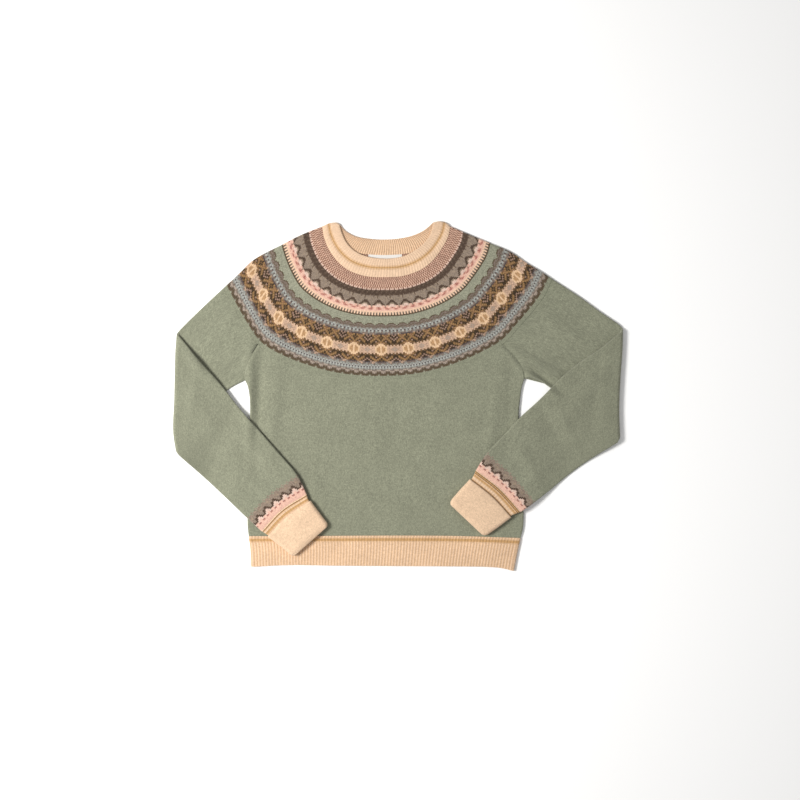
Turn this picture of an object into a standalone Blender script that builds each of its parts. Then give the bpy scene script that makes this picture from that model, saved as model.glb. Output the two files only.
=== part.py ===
"""A fair isle sweater that lies flat on its back, with its arms folded in and its cuffs turned up.

The outline tables are in millimetres. They are measured in the garment's own plane, across from
the middle of the body and up from the hem, and every piece is then moved so that the origin lies
at the middle of the whole garment, on the surface that it rests on. Each piece is a wall of
knitted cloth: its rows run along the piece, its columns run across or round it, and each column
is placed on a flattened tube with rounded edges.
"""
from math import cos, exp, hypot, pi, radians, sin

import bmesh
import bpy
import numpy as np

# Driving sizes, in millimetres
JERSEY_WALL = 1.8
YOKE_WALL = 2.3
RIB_WALL = 2.0
RIB_RAISE = 0.6
NECKBAND_WALL = 2.6
BODY_HEIGHT = 5.4
YOKE_HEIGHT = 5.6
HEM_HEIGHT = 5.8
NECKBAND_HEIGHT = 6.0
SLEEVE_HEIGHT = 5.0
CUFF_HEIGHT = 4.6
LAYER_GAP = 1.2
SEAM_GAP = 0.3
CUFF_TURN_GAP = 1.0
LABEL_THICKNESS = 0.4
LABEL_WIDTH = 56.0
LABEL_DROP = 22.0
LAY_CENTRE = (22.0, 286.8)
MILLIMETRE = 0.001
GARMENT = "fair_isle_sweater"

# How long each piece is between its seams, in millimetres
YOKE_DEPTH = 165
NECKBAND_DEPTH = 28
HEM_DEPTH = 50
BODY_LENGTH = 290
BODY_WIDTH = 455
UPPER_ARM_LENGTH = 80
FOREARM_LENGTH = 290

# The forearm lies on the upper arm and the body, and sinks to the surface between them. It starts
# to sink this far out from both, and is down after this much more.
SAG_START = 8
SAG_RUN = 34
CUFF_CLEARANCE = 0.4
CUFF_REST = HEM_HEIGHT + RIB_RAISE + CUFF_CLEARANCE
FOREARM_REST = SLEEVE_HEIGHT + LAYER_GAP
FOREARM_REST_AT_CUFF = CUFF_REST + RIB_WALL + CUFF_TURN_GAP
ELBOW_SHARE = 0.15
CUFF_RISE_SHARE = 0.7

# Ribs that show: how many across each ribbed band
HEM_RIBS = 88
NECK_RIBS = 60
CUFF_RIBS = 18

# Neck: where the band is sewn to the yoke, and its folded inner edge
NECK_SEAM_FRONT = [(-106, 571), (-103, 553), (-95, 533), (-80, 512), (-59, 496), (-30, 487), (0, 486),
                   (30, 488), (60, 499), (81, 516), (96, 537), (105, 555), (108, 571)]
NECK_SEAM_BACK = [(-106, 571), (-98, 557), (-86, 543), (-70, 533), (-45, 526), (0, 523), (45, 527),
                  (70, 537), (86, 549), (99, 561), (108, 571)]
NECK_EDGE_FRONT = [(-77, 575), (-73, 561), (-65, 544), (-50, 529), (-28, 520), (0, 517), (26, 520),
                   (46, 529), (64, 543), (75, 559), (80, 578)]
NECK_EDGE_BACK = [(-77, 575), (-66, 563), (-48, 554), (-24, 550), (0, 549), (24, 551), (46, 556),
                  (65, 565), (80, 578)]
NECK_FOLD_LEFT = [(-106, 571), (-95, 576), (-84, 577.5), (-77, 575)]
NECK_FOLD_RIGHT = [(108, 571), (101, 577), (90, 579.5), (80, 578)]

# Shoulders: the edge where the yoke folds over, from the neck to the sleeve
SHOULDER_LEFT = [(-106, 571), (-143, 556), (-176, 539), (-206, 524), (-226, 511), (-243, 494), (-271, 468)]
SHOULDER_RIGHT = [(108, 571), (141, 557), (175, 543), (208, 529), (236, 510), (258, 497), (279, 483)]

# Yoke: its lower seam, from the left shoulder down round the chest and up to the right shoulder
YOKE_SEAM_FRONT = [(-271, 468), (-253, 434), (-234, 402), (-213, 373), (-184, 354), (-143, 337),
                   (-95, 323), (-45, 316), (0, 315), (45, 318), (95, 329), (130, 341), (164, 356),
                   (197, 375), (222, 401), (247, 430), (265, 454), (279, 483)]
YOKE_SEAM_BACK = [(-271, 468), (-253, 434), (-234, 402), (-213, 373), (-184, 361), (-143, 350),
                  (-80, 343), (0, 341), (80, 345), (130, 352), (164, 361), (197, 375), (222, 401),
                  (247, 430), (265, 454), (279, 483)]
LEFT_RAGLAN_SHARE = 0.163
RIGHT_RAGLAN_SHARE = 0.797
SLEEVE_RAGLAN_SHARE = 0.33

# Body: its sides from the hem rib to the underarm, its raglan seams and its hem
SIDE_LEFT = [(-229, 53), (-231, 80), (-230, 164), (-227, 247), (-227, 281), (-230, 302), (-235, 314)]
SIDE_RIGHT = [(226, 50), (231, 80), (229, 164), (223, 247), (225, 281), (228, 302), (232, 315)]
RAGLAN_LEFT = [(-235, 314), (-236, 325), (-228, 348)]
RAGLAN_RIGHT = [(232, 315), (228, 334), (216, 353)]
UNDERARM_SHARE = 0.8
RAGLAN_ROWS = (0.85, 0.9, 0.95)
SLEEVE_SHARES = (0, 0.07, 0.155, 0.24, 0.33, 0.44, 0.55, 0.66, 0.77, 0.88, 1)
HEM_SEAM = [(-229, 53), (-110, 53.5), (0, 54), (110, 53.5), (226, 50)]
HEM_EDGE = [(-225, 2), (-160, 5), (-80, 4), (0, 3.5), (100, 3), (180, 1.5), (215, -5)]
HEM_SIDE_LEFT = [(-225, 2), (-226, 27), (-229, 53)]
HEM_SIDE_RIGHT = [(215, -5), (220, 22), (226, 50)]

# Arms: each edge runs from the body to the elbow, and from the elbow to the cuff. The elbow's two
# lines are those along which the arm leaves the surface and comes down again on itself.
ARMS = {
    "left": dict(
        outward=-1, body_side=-229, under_edge=((-235, 314), (-350, 200)),
        upper_low=[(-235, 314), (-265, 297), (-310, 261), (-345, 206)],
        upper_high=[(-271, 468), (-300, 441), (-326, 416), (-344, 398)],
        elbow_under=[(-345, 206), (-347, 240), (-344, 290), (-344, 360), (-344, 398)],
        elbow_over=[(-345, 188), (-348, 225), (-345, 280), (-344, 350), (-343, 386)],
        fore_low=[(-345, 188), (-310, 157), (-276, 126), (-243, 95), (-229, 82), (-207, 62)],
        fore_high=[(-343, 386), (-310, 346), (-276, 308), (-243, 266), (-210, 229), (-176, 190),
                   (-148, 157), (-129, 119)],
        cuff_low=[(-207, 62), (-196, 55), (-173, 38), (-151, 21)],
        cuff_high=[(-129, 119), (-126, 110), (-112, 91), (-97, 71)],
        turned_share=0.14),
    "right": dict(
        outward=1, body_side=228, under_edge=((240, 317), (392, 222)),
        upper_low=[(232, 315), (241, 317), (275, 301), (320, 272), (386, 229)],
        upper_high=[(279, 483), (325, 453), (358, 429), (386, 410)],
        elbow_under=[(386, 229), (385, 270), (387, 320), (391, 370), (392, 406)],
        elbow_over=[(387, 209), (385, 260), (387, 310), (390, 360), (391, 393)],
        fore_low=[(387, 209), (342, 181), (308, 157), (275, 130), (241, 104), (226, 94)],
        fore_high=[(391, 393), (358, 366), (325, 344), (291, 316), (258, 282), (225, 252), (200, 225),
                   (170, 193), (151, 164)],
        cuff_low=[(226, 94), (209, 87), (186, 70), (163, 54)],
        cuff_high=[(151, 164), (143, 148), (125, 128), (107, 107)],
        turned_share=0.27),
}

# Soft folds of the cloth. Columns: across, up, turn in degrees, half length, half width, height
BODY_FOLDS = [
    (-203, 285, 84, 90, 12, -1.0),
    (-178, 262, 80, 100, 15, 0.8),
    (-60, 210, 8, 120, 16, 0.7),
    (70, 262, -12, 110, 14, 0.8),
    (165, 240, 78, 90, 16, 0.8),
    (20, 120, 3, 150, 18, 0.6),
    (258, 330, -62, 50, 9, -0.9),
    (280, 350, -58, 60, 12, 1.0),
    (-285, 360, 52, 60, 14, 0.9),
]
FOREARM_FOLDS = [
    (-300, 250, -52, 70, 14, 1.0),
    (-235, 180, -50, 60, 12, -0.7),
    (340, 290, 48, 70, 14, 1.0),
    (262, 205, 45, 60, 13, -0.7),
]

SAGE = (0.30, 0.33, 0.22)
OATMEAL = (0.85, 0.62, 0.40)
PATTERNED = (0.52, 0.40, 0.32)
WHITE = (0.85, 0.85, 0.83)


def clear_scene():
    for item in list(bpy.data.objects):
        bpy.data.objects.remove(item, do_unlink=True)


def smooth_path(points, steps=10):
    """Returns a function that gives the point at a share, 0 to 1 by length, of a smooth curve."""
    knots = np.array(points, dtype=float)
    ends = [2 * knots[0] - knots[1]], [2 * knots[-1] - knots[-2]]
    padded = np.vstack([ends[0], knots, ends[1]])
    run = []
    for before, start, end, after in zip(padded, padded[1:], padded[2:], padded[3:]):
        for step in range(steps):
            t = step / steps
            bend = (2 * before - 5 * start + 4 * end - after) * t
            twist = (3 * start - before - 3 * end + after) * t * t
            run.append(start + 0.5 * t * (end - before + bend + twist))
    run = np.array(run + [knots[-1]])
    along = np.concatenate([[0], np.cumsum(np.linalg.norm(np.diff(run, axis=0), axis=1))])

    def point(share):
        place = min(max(share, 0.0), 1.0) * along[-1]
        on_path = np.array([np.interp(place, along, run[:, axis]) for axis in (0, 1)])
        past_end = share * along[-1] - place
        if past_end == 0:
            return on_path
        tangent = run[1] - run[0] if share < 0 else run[-1] - run[-2]
        return on_path + past_end * tangent / np.linalg.norm(tangent)

    return point


def portion(path, start, end):
    return lambda share: path(start + (end - start) * share)


def joined(first, second, meeting):
    """Runs along one path up to the meeting share, and along the other from there."""
    def point(share):
        if share < meeting:
            return first(share / meeting)
        return second((share - meeting) / (1 - meeting))

    return point


def patch(start, end, low, high):
    """Fills four edges: start and end run across from low to high, and low and high run along."""
    def point(along, across):
        between_ends = (1 - along) * start(across) + along * end(across)
        between_sides = (1 - across) * low(along) + across * high(along)
        corners = ((1 - along) * ((1 - across) * start(0) + across * start(1))
                   + along * ((1 - across) * end(0) + across * end(1)))
        return between_ends + between_sides - corners

    return point


def width_across(plan, along, samples=12):
    points = np.array([plan(along, step / samples) for step in range(samples + 1)])
    return float(np.sum(np.linalg.norm(np.diff(points, axis=0), axis=1)))


def ease(share):
    share = min(max(share, 0.0), 1.0)
    return share * share * (3 - 2 * share)


def fold_height(x, y, folds):
    total = 0.0
    for centre_x, centre_y, turn, half_length, half_width, height in folds:
        lengthwise = (x - centre_x) * cos(radians(turn)) + (y - centre_y) * sin(radians(turn))
        sideways = (y - centre_y) * cos(radians(turn)) - (x - centre_x) * sin(radians(turn))
        total += height * exp(-(lengthwise / half_length) ** 2 - (sideways / half_width) ** 2)
    return total


def edge_columns(share, facing, first, last, steps=4):
    """Columns round one rounded edge, from one angle to another, as (share, sideways, up, rib)."""
    angles = [radians(first + (last - first) * step / steps) for step in range(1, steps)]
    return [(share, facing * cos(angle), sin(angle), 0.0) for angle in angles]


def evenly(count):
    return [step / count for step in range(count + 1)]


def flat_columns(shares, up, ribbed=False):
    """Columns along a flat layer. A ribbed layer has a ridge at every second column."""
    return [(share, 0.0, up, float(ribbed and step % 2)) for step, share in enumerate(shares)]


def tube_columns(upper, lower, ribbed=False, ribbed_below=False):
    """Columns once round a flattened tube: the upper layer, an edge, the lower layer, an edge."""
    return (flat_columns(upper, 1, ribbed) + edge_columns(1, 1, 90, -90)
            + flat_columns(lower[::-1], -1, ribbed_below) + edge_columns(0, -1, -90, 90))


def on_section(column, width, height, depth):
    """Gives how far across and how high a column lies, at a depth below the tube's outer face."""
    share, sideways, up, _ = column
    edge = height / 2
    radius = edge - depth
    return (edge + share * (width - 2 * edge) + radius * sideways) / width, edge + radius * up


def finish_piece(name, colour, mesh):
    """Closes the mesh, turns its faces out and adds it, in metres, round the garment's middle."""
    bmesh.ops.remove_doubles(mesh, verts=mesh.verts, dist=0.001)
    bmesh.ops.translate(mesh, verts=mesh.verts, vec=(-LAY_CENTRE[0], -LAY_CENTRE[1], 0))
    bmesh.ops.scale(mesh, verts=mesh.verts, vec=(MILLIMETRE,) * 3)
    bmesh.ops.recalc_face_normals(mesh, faces=mesh.faces)
    data = bpy.data.meshes.new(name)
    mesh.to_mesh(data)
    mesh.free()
    data.shade_smooth()
    data.set_sharp_from_angle(angle=radians(50))
    knit = bpy.data.materials.new(name)
    knit.use_nodes = True
    surface = knit.node_tree.nodes["Principled BSDF"]
    surface.inputs["Base Color"].default_value = (*colour, 1.0)
    surface.inputs["Roughness"].default_value = 0.9
    surface.inputs["Metallic"].default_value = 0.0
    data.materials.append(knit)
    piece = bpy.data.objects.new(name, data)
    bpy.data.collections[GARMENT].objects.link(piece)


def grid_points(mesh, across_count, along_count):
    """Adds a plain grid and gives each of its points with its two whole-number places."""
    grid = bmesh.ops.create_grid(mesh, x_segments=across_count, y_segments=along_count, size=0.5)
    return [(point, round((point.co.x + 0.5) * across_count), round((point.co.y + 0.5) * along_count))
            for point in grid["verts"]]


def add_ring(name, colour, profile, columns, place):
    """Adds a wall that closes on itself: a closed profile of (along, depth) carried round it."""
    mesh = bmesh.new()
    for point, across, along in grid_points(mesh, len(columns), len(profile)):
        point.co = place(*profile[along % len(profile)], columns[across % len(columns)])
    finish_piece(name, colour, mesh)


def add_panel(name, colour, rows, columns, place, wall):
    """Adds an open panel: an outer and an inner face, joined all round their rims."""
    mesh = bmesh.new()
    for depth in (0.0, wall):
        for point, across, along in grid_points(mesh, len(columns) - 1, len(rows) - 1):
            point.co = place(rows[along], depth, columns[across])
    rims = [edge for edge in mesh.edges if edge.is_boundary]
    bmesh.ops.bridge_loops(mesh, edges=rims)
    finish_piece(name, colour, mesh)


def wall_profile(rows, wall):
    """The closed profile of a plain wall: down its outer face and back up its inner face."""
    return [(row, 0.0) for row in rows] + [(row, wall) for row in reversed(rows)]


def trimmed(count, length):
    """Rows evenly spaced along a piece, with its two ends cut back from the seams."""
    return list(np.linspace(SEAM_GAP / length, 1 - SEAM_GAP / length, count + 1))


# The seams that several pieces share
yoke_seam_front = smooth_path(YOKE_SEAM_FRONT)
yoke_seam_back = smooth_path(YOKE_SEAM_BACK)
RAGLAN_LEFT.append(tuple(yoke_seam_front(LEFT_RAGLAN_SHARE)))
RAGLAN_RIGHT.append(tuple(yoke_seam_front(RIGHT_RAGLAN_SHARE)))
raglan_left = smooth_path(RAGLAN_LEFT)
raglan_right = smooth_path(RAGLAN_RIGHT)
hem_seam = smooth_path(HEM_SEAM)


def on_two_layers(front, back, height, wall):
    """Places a flattened ring whose upper layer follows one plan and whose lower layer another.

    A ribbed layer has its ridges on the face that looks up: the outer face of the upper layer,
    and the inner face of the lower one, whose outer face rests flat on the surface.
    """
    widths = {}

    def place(along, depth, column):
        up, rib = column[2], column[3]
        plan = front if up >= 0 else back
        if (along, up >= 0) not in widths:
            widths[along, up >= 0] = width_across(plan, along)
        across, z = on_section(column, widths[along, up >= 0], height, depth)
        if (depth < wall / 2) == (up > 0):
            z += RIB_RAISE * rib
        x, y = plan(along, across)
        return x, y, z + fold_height(x, y, BODY_FOLDS) * (1 + up) / 2

    return place


def add_yoke():
    left, right = smooth_path(SHOULDER_LEFT), smooth_path(SHOULDER_RIGHT)
    front = patch(smooth_path(NECK_SEAM_FRONT), yoke_seam_front, left, right)
    back = patch(smooth_path(NECK_SEAM_BACK), yoke_seam_back, left, right)
    rows = trimmed(5, YOKE_DEPTH)
    add_ring("yoke", PATTERNED, wall_profile(rows, YOKE_WALL), tube_columns(evenly(36), evenly(26)),
             on_two_layers(front, back, YOKE_HEIGHT, YOKE_WALL))


def add_neckband():
    left, right = smooth_path(NECK_FOLD_LEFT), smooth_path(NECK_FOLD_RIGHT)
    front = patch(smooth_path(NECK_SEAM_FRONT), smooth_path(NECK_EDGE_FRONT), left, right)
    back = patch(smooth_path(NECK_SEAM_BACK), smooth_path(NECK_EDGE_BACK), left, right)
    seam, roll = SEAM_GAP / NECKBAND_DEPTH, 1 - NECKBAND_WALL / NECKBAND_DEPTH
    rounded = NECKBAND_WALL / 4
    profile = [(seam, 0.0), (roll, 0.0), (1.0, rounded), (1.0, NECKBAND_WALL - rounded),
               (roll, NECKBAND_WALL), (seam, NECKBAND_WALL)]
    ribs = evenly(2 * NECK_RIBS)
    columns = tube_columns(ribs, ribs, ribbed=True, ribbed_below=True)
    add_ring("neckband", OATMEAL, profile, columns,
             on_two_layers(front, back, NECKBAND_HEIGHT, NECKBAND_WALL))


def add_hem_rib():
    plan = patch(smooth_path(HEM_EDGE), hem_seam, smooth_path(HEM_SIDE_LEFT), smooth_path(HEM_SIDE_RIGHT))
    rows = [0.0, 0.5, 1 - SEAM_GAP / HEM_DEPTH]
    columns = tube_columns(evenly(2 * HEM_RIBS), evenly(10), ribbed=True)
    add_ring("hem_rib", OATMEAL, wall_profile(rows, RIB_WALL), columns,
             on_two_layers(plan, plan, HEM_HEIGHT, RIB_WALL))


def add_body_panel(name, yoke_seam, up, column_count):
    """Adds the front, up 1, or the back, up -1. Its sides turn down or up to meet each other."""
    left = joined(smooth_path(SIDE_LEFT), raglan_left, UNDERARM_SHARE)
    right = joined(smooth_path(SIDE_RIGHT), raglan_right, UNDERARM_SHARE)
    seam = portion(yoke_seam, *seam_shares(yoke_seam))
    plan = patch(hem_seam, seam, left, right)
    edges = edge_columns(0, -1, 0, 90 * up, 2), edge_columns(1, 1, 90 * up, 0, 2)
    columns = ([(0, -1.0, 0.0, 0.0)] + edges[0] + flat_columns(evenly(column_count), up)
               + edges[1] + [(1, 1.0, 0.0, 0.0)])
    rows = [row for row in trimmed(8, BODY_LENGTH) if row < UNDERARM_SHARE]
    rows += [UNDERARM_SHARE, *RAGLAN_ROWS, 1 - SEAM_GAP / BODY_LENGTH]
    trim = SEAM_GAP / BODY_WIDTH
    widths = {row: width_across(plan, row) for row in rows}

    def place(along, depth, column):
        share, sideways, column_up, _ = column
        if along > UNDERARM_SHARE:
            column_up = up
        across, z = on_section((share, sideways, column_up, 0.0), widths[along], BODY_HEIGHT, depth)
        if column_up == 0:
            z += up * SEAM_GAP / 2
        x, y = plan(along, trim + across * (1 - 2 * trim))
        return x, y, z + fold_height(x, y, BODY_FOLDS) * max(column_up, 0)

    add_panel(name, SAGE, rows, columns, place, JERSEY_WALL)


def seam_shares(yoke_seam):
    """Finds where along a yoke seam the two raglan seams end."""
    shares = np.linspace(0, 1, 800)
    points = np.array([yoke_seam(share) for share in shares])
    return [float(shares[np.argmin(np.linalg.norm(points - raglan(1.0), axis=1))])
            for raglan in (raglan_left, raglan_right)]


def outside_supports(x, y, arm):
    """How far a point is from both the upper arm and the body, where the forearm can sink."""
    (start_x, start_y), (end_x, end_y) = arm["under_edge"]
    run = hypot(end_x - start_x, end_y - start_y)
    beyond_arm = ((end_x - start_x) * (y - start_y) - (end_y - start_y) * (x - start_x)) / run
    return min(-beyond_arm * arm["outward"], (x - arm["body_side"]) * arm["outward"])


def forearm_rest(x, y, along, arm):
    """The height of the forearm's underside: on the arm or the body, or sunk to the surface."""
    sag = ease((outside_supports(x, y, arm) - SAG_START) / SAG_RUN) * ease(along / ELBOW_SHARE)
    sunk = FOREARM_REST * sag
    rise = ease((along - CUFF_RISE_SHARE) / (1 - CUFF_RISE_SHARE))
    lifted = (FOREARM_REST_AT_CUFF - FOREARM_REST) * rise
    return FOREARM_REST - sunk + lifted + fold_height(x, y, BODY_FOLDS)


def add_sleeve(side):
    """Adds one sleeve: a tube that lies on the surface, folds up at the elbow and lies on itself."""
    arm = ARMS[side]
    raglan = raglan_left if side == "left" else raglan_right
    if side == "left":
        upper_seam = portion(yoke_seam_front, LEFT_RAGLAN_SHARE, 0)
    else:
        upper_seam = portion(yoke_seam_front, RIGHT_RAGLAN_SHARE, 1)
    seam = joined(raglan, upper_seam, SLEEVE_RAGLAN_SHARE)
    elbow_under, elbow_over = smooth_path(arm["elbow_under"]), smooth_path(arm["elbow_over"])
    cuff_seam = smooth_path([arm["cuff_low"][0], arm["cuff_high"][0]])
    upper = patch(seam, elbow_under, smooth_path(arm["upper_low"]), smooth_path(arm["upper_high"]))
    fore = patch(elbow_over, cuff_seam, smooth_path(arm["fore_low"]), smooth_path(arm["fore_high"]))
    bend_centre = SLEEVE_HEIGHT + LAYER_GAP / 2
    rows = ([("upper", row) for row in np.linspace(SEAM_GAP / UPPER_ARM_LENGTH, 1, 7)]
            + [("elbow", row) for row in evenly(6)[1:-1]]
            + [("fore", row) for row in np.linspace(0, 1 - SEAM_GAP / FOREARM_LENGTH, 11)])
    widths = {row: width_across({"upper": upper, "fore": fore}[row[0]], row[1])
              for row in rows if row[0] != "elbow"}
    elbow_width = widths["upper", 1.0]

    def place(row, depth, column):
        stretch, along = row
        up = column[2]
        across, z = on_section(column, widths.get(row, elbow_width), SLEEVE_HEIGHT, depth)
        if stretch == "upper":
            x, y = upper(along, across)
            return x, y, z + fold_height(x, y, BODY_FOLDS) * (1 + up) / 2
        if stretch == "fore":
            x, y = fore(along, across)
            crease = fold_height(x, y, FOREARM_FOLDS) * (1 - up) / 2
            return x, y, forearm_rest(x, y, along, arm) + SLEEVE_HEIGHT - z + crease
        x, y = (1 - along) * elbow_under(across) + along * elbow_over(across)
        radius = bend_centre - z
        turn = pi * along
        return x + arm["outward"] * radius * sin(turn), y, bend_centre - radius * cos(turn)

    columns = tube_columns(SLEEVE_SHARES, SLEEVE_SHARES)
    add_ring("sleeve_" + side, SAGE, wall_profile(rows, JERSEY_WALL), columns, place)


def add_cuff(side):
    """Adds one cuff: out from the sleeve, round at the wrist's edge and back over itself."""
    arm = ARMS[side]
    low, high = smooth_path(arm["cuff_low"]), smooth_path(arm["cuff_high"])
    seam = smooth_path([arm["cuff_low"][0], arm["cuff_high"][0]])
    wrist = smooth_path([arm["cuff_low"][-1], arm["cuff_high"][-1]])
    plan = patch(seam, wrist, low, high)
    length = float(np.linalg.norm(seam(0.5) - wrist(0.5)))
    start, turned = SEAM_GAP / length, arm["turned_share"]
    outer, gap = -(RIB_WALL + CUFF_TURN_GAP), -CUFF_TURN_GAP
    middle, reach = (outer + RIB_WALL) / 2, (RIB_WALL - outer) / 2 / length
    bend, crook, halfway = 1 - reach, 1 - reach * 0.3, (1 + turned) / 2
    profile = [(start, 0.0), (turned, 0.0), (bend, 0.0), (1 - reach * 0.8, gap / 2), (bend, gap),
               (halfway, gap), (turned, gap), (turned, outer), (halfway, outer), (bend, outer),
               (crook, middle + (outer - middle) * 0.7), (1.0, middle),
               (crook, middle + (RIB_WALL - middle) * 0.7), (bend, RIB_WALL),
               (turned, RIB_WALL), (start, RIB_WALL)]
    widths = {}

    def place(along, depth, column):
        if along not in widths:
            widths[along] = width_across(plan, along)
        if depth == 0.0 and along <= turned:
            depth -= RIB_RAISE * column[3]
        across, z = on_section(column, widths[along], CUFF_HEIGHT, depth)
        x, y = plan(along, across)
        return x, y, FOREARM_REST_AT_CUFF + CUFF_HEIGHT - z + fold_height(x, y, BODY_FOLDS)

    columns = tube_columns(evenly(8), evenly(2 * CUFF_RIBS), ribbed_below=True)
    add_ring("cuff_" + side, OATMEAL, profile, columns, place)


def add_label():
    """Adds the bare label on the inside of the back yoke, hanging from the seam of the neck."""
    middle_x, seam_y = smooth_path(NECK_SEAM_BACK)(0.5)
    top = seam_y - YOKE_WALL / 2
    lowest = YOKE_WALL + SEAM_GAP

    def place(along, depth, column):
        x = middle_x + (column[0] - 0.5) * LABEL_WIDTH
        return x, top - along * LABEL_DROP, lowest + LABEL_THICKNESS - depth

    add_panel("label", WHITE, [0.0, 0.5, 1.0], flat_columns(evenly(4), 1), place, LABEL_THICKNESS)


clear_scene()
bpy.context.scene.collection.children.link(bpy.data.collections.new(GARMENT))
add_yoke()
add_neckband()
add_body_panel("front", yoke_seam_front, 1, 26)
add_body_panel("back", yoke_seam_back, -1, 26)
add_hem_rib()
for arm_side in ARMS:
    add_sleeve(arm_side)
    add_cuff(arm_side)
add_label()
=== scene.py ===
"""A fair isle sweater that lies flat on its back, with its arms folded in and its cuffs turned up.

Every piece is a knitted wall on its solid's form. The outline tables are in millimetres in the
garment's own plane, across from the middle of the body and up from the hem, and each piece is
moved so that the origin lies at the middle of the whole garment. The yoke and the sleeve ends are
knitted stitch by stitch from the charts below: each stitch is a V of two faces with its yarn's
colour. In plain jersey the stitches are drawn by the material, from the UV map named knit.
"""
from math import hypot, pi, radians

import bmesh
import bpy
import numpy as np
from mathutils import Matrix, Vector


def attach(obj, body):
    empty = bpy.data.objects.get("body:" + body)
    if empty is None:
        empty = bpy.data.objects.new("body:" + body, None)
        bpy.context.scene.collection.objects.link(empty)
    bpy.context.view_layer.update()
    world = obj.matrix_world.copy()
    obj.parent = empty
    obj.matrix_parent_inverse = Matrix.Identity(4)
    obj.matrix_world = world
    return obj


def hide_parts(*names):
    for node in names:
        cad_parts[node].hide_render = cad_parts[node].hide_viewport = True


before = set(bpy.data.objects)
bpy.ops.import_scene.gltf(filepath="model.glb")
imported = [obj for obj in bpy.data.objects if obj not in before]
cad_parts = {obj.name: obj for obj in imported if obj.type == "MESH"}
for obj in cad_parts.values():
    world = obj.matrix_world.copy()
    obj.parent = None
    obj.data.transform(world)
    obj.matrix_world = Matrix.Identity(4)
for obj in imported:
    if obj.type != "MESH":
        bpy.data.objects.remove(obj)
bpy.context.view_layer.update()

# Yoke
# The patterned ring round the neck, folded flat at both shoulders. It is stranded knitting in fine
# marled wool, in four zones that each have a stitch count of their own, and linked to the body.
YOKE_WALL = 2.3
YOKE_HEIGHT = 5.6
YOKE_DEPTH = 171
SEAM_GAP = 0.05
LAY_CENTRE = (22.0, 286.8)
MILLIMETRE = 0.001
STITCH_WIDTH = 3.0
STITCH_HEIGHT = 2.2
STITCH_SLANT = 0.6
SEAM_DIP = 0.8
SEAM_DIP_WIDTH = 2.4
LINKING_DIP = 0.12
YOKE_BULGE = 0.051
EDGE_STITCHES = 3
WOOL_DEPTH = 0.85
WELD_DISTANCE = 0.000002
SHARP_ANGLE = 62

# Neck and shoulders: the seam of the neckband, and the folds from the neck to the sleeves
NECK_SEAM_FRONT = [(-106, 571), (-103, 553), (-95, 533), (-80, 512), (-59, 496), (-30, 487), (0, 486),
                   (30, 488), (60, 499), (81, 516), (96, 537), (105, 555), (108, 571)]
NECK_SEAM_BACK = [(-106, 571), (-98, 557), (-86, 543), (-70, 533), (-45, 526), (0, 523), (45, 527),
                  (70, 537), (86, 549), (99, 561), (108, 571)]
SHOULDER_LEFT = [(-106, 571), (-143, 556), (-176, 539), (-206, 524), (-226, 511), (-243, 494), (-271, 468)]
SHOULDER_RIGHT = [(108, 571), (141, 557), (175, 543), (208, 529), (236, 510), (258, 497), (279, 483)]

# The yoke's lower seam, from the left shoulder down round the chest and up to the right shoulder
YOKE_SEAM_FRONT = [(-271, 468), (-253, 434), (-234, 402), (-213, 373), (-184, 354), (-143, 337),
                   (-95, 323), (-45, 316), (0, 315), (45, 318), (95, 329), (130, 341), (164, 356),
                   (197, 375), (222, 401), (247, 430), (265, 454), (279, 483)]
YOKE_SEAM_BACK = [(-271, 468), (-253, 434), (-234, 402), (-213, 373), (-184, 361), (-143, 350),
                  (-80, 343), (0, 341), (80, 345), (130, 352), (164, 361), (197, 375), (222, 401),
                  (247, 430), (265, 454), (279, 483)]

# Soft folds of the body and all that lies on it. Columns: across, up, turn in degrees, half length,
# half width, height
BODY_FOLDS = [
    (-210, 300, 87, 75, 7, -2.4),
    (-227, 295, 89, 85, 8.5, 5.6),
    (-186, 272, 86, 105, 15, 2.8),
    (-150, 190, 70, 80, 18, 0.8),
    (-60, 210, 8, 120, 16, 0.9),
    (-120, 130, 62, 70, 12, 0.8),
    (-15, 255, 84, 60, 14, 0.7),
    (70, 262, -12, 110, 14, 1.0),
    (178, 240, 82, 90, 10, 1.4),
    (205, 250, 86, 80, 7, -0.9),
    (110, 120, -68, 60, 11, 0.8),
    (20, 120, 3, 150, 18, 0.8),
    (60, 180, 58, 50, 10, 0.6),
    (264, 319, -36, 30, 5, -4.6),
    (256, 310, -36, 34, 6, 6.0),
    (267, 333, -36, 46, 12, 2.4),
    (300, 395, -30, 55, 13, 1.2),
    (335, 330, -42, 50, 12, 0.9),
    (-285, 385, 52, 60, 14, 1.1),
    (-255, 375, 66, 30, 9, 1.0),
]

# Where the body and the upper arms sink beside the forearms that lie on them
PRESSED_FOLDS = [
    (-286, 324, -48, 26, 7, -1.2),
    (-310, 352, -48, 26, 9, -2.0),
    (-190, 205, -50, 60, 6, -0.9),
    (-135, 120, -56, 40, 6, -0.9),
]

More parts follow.
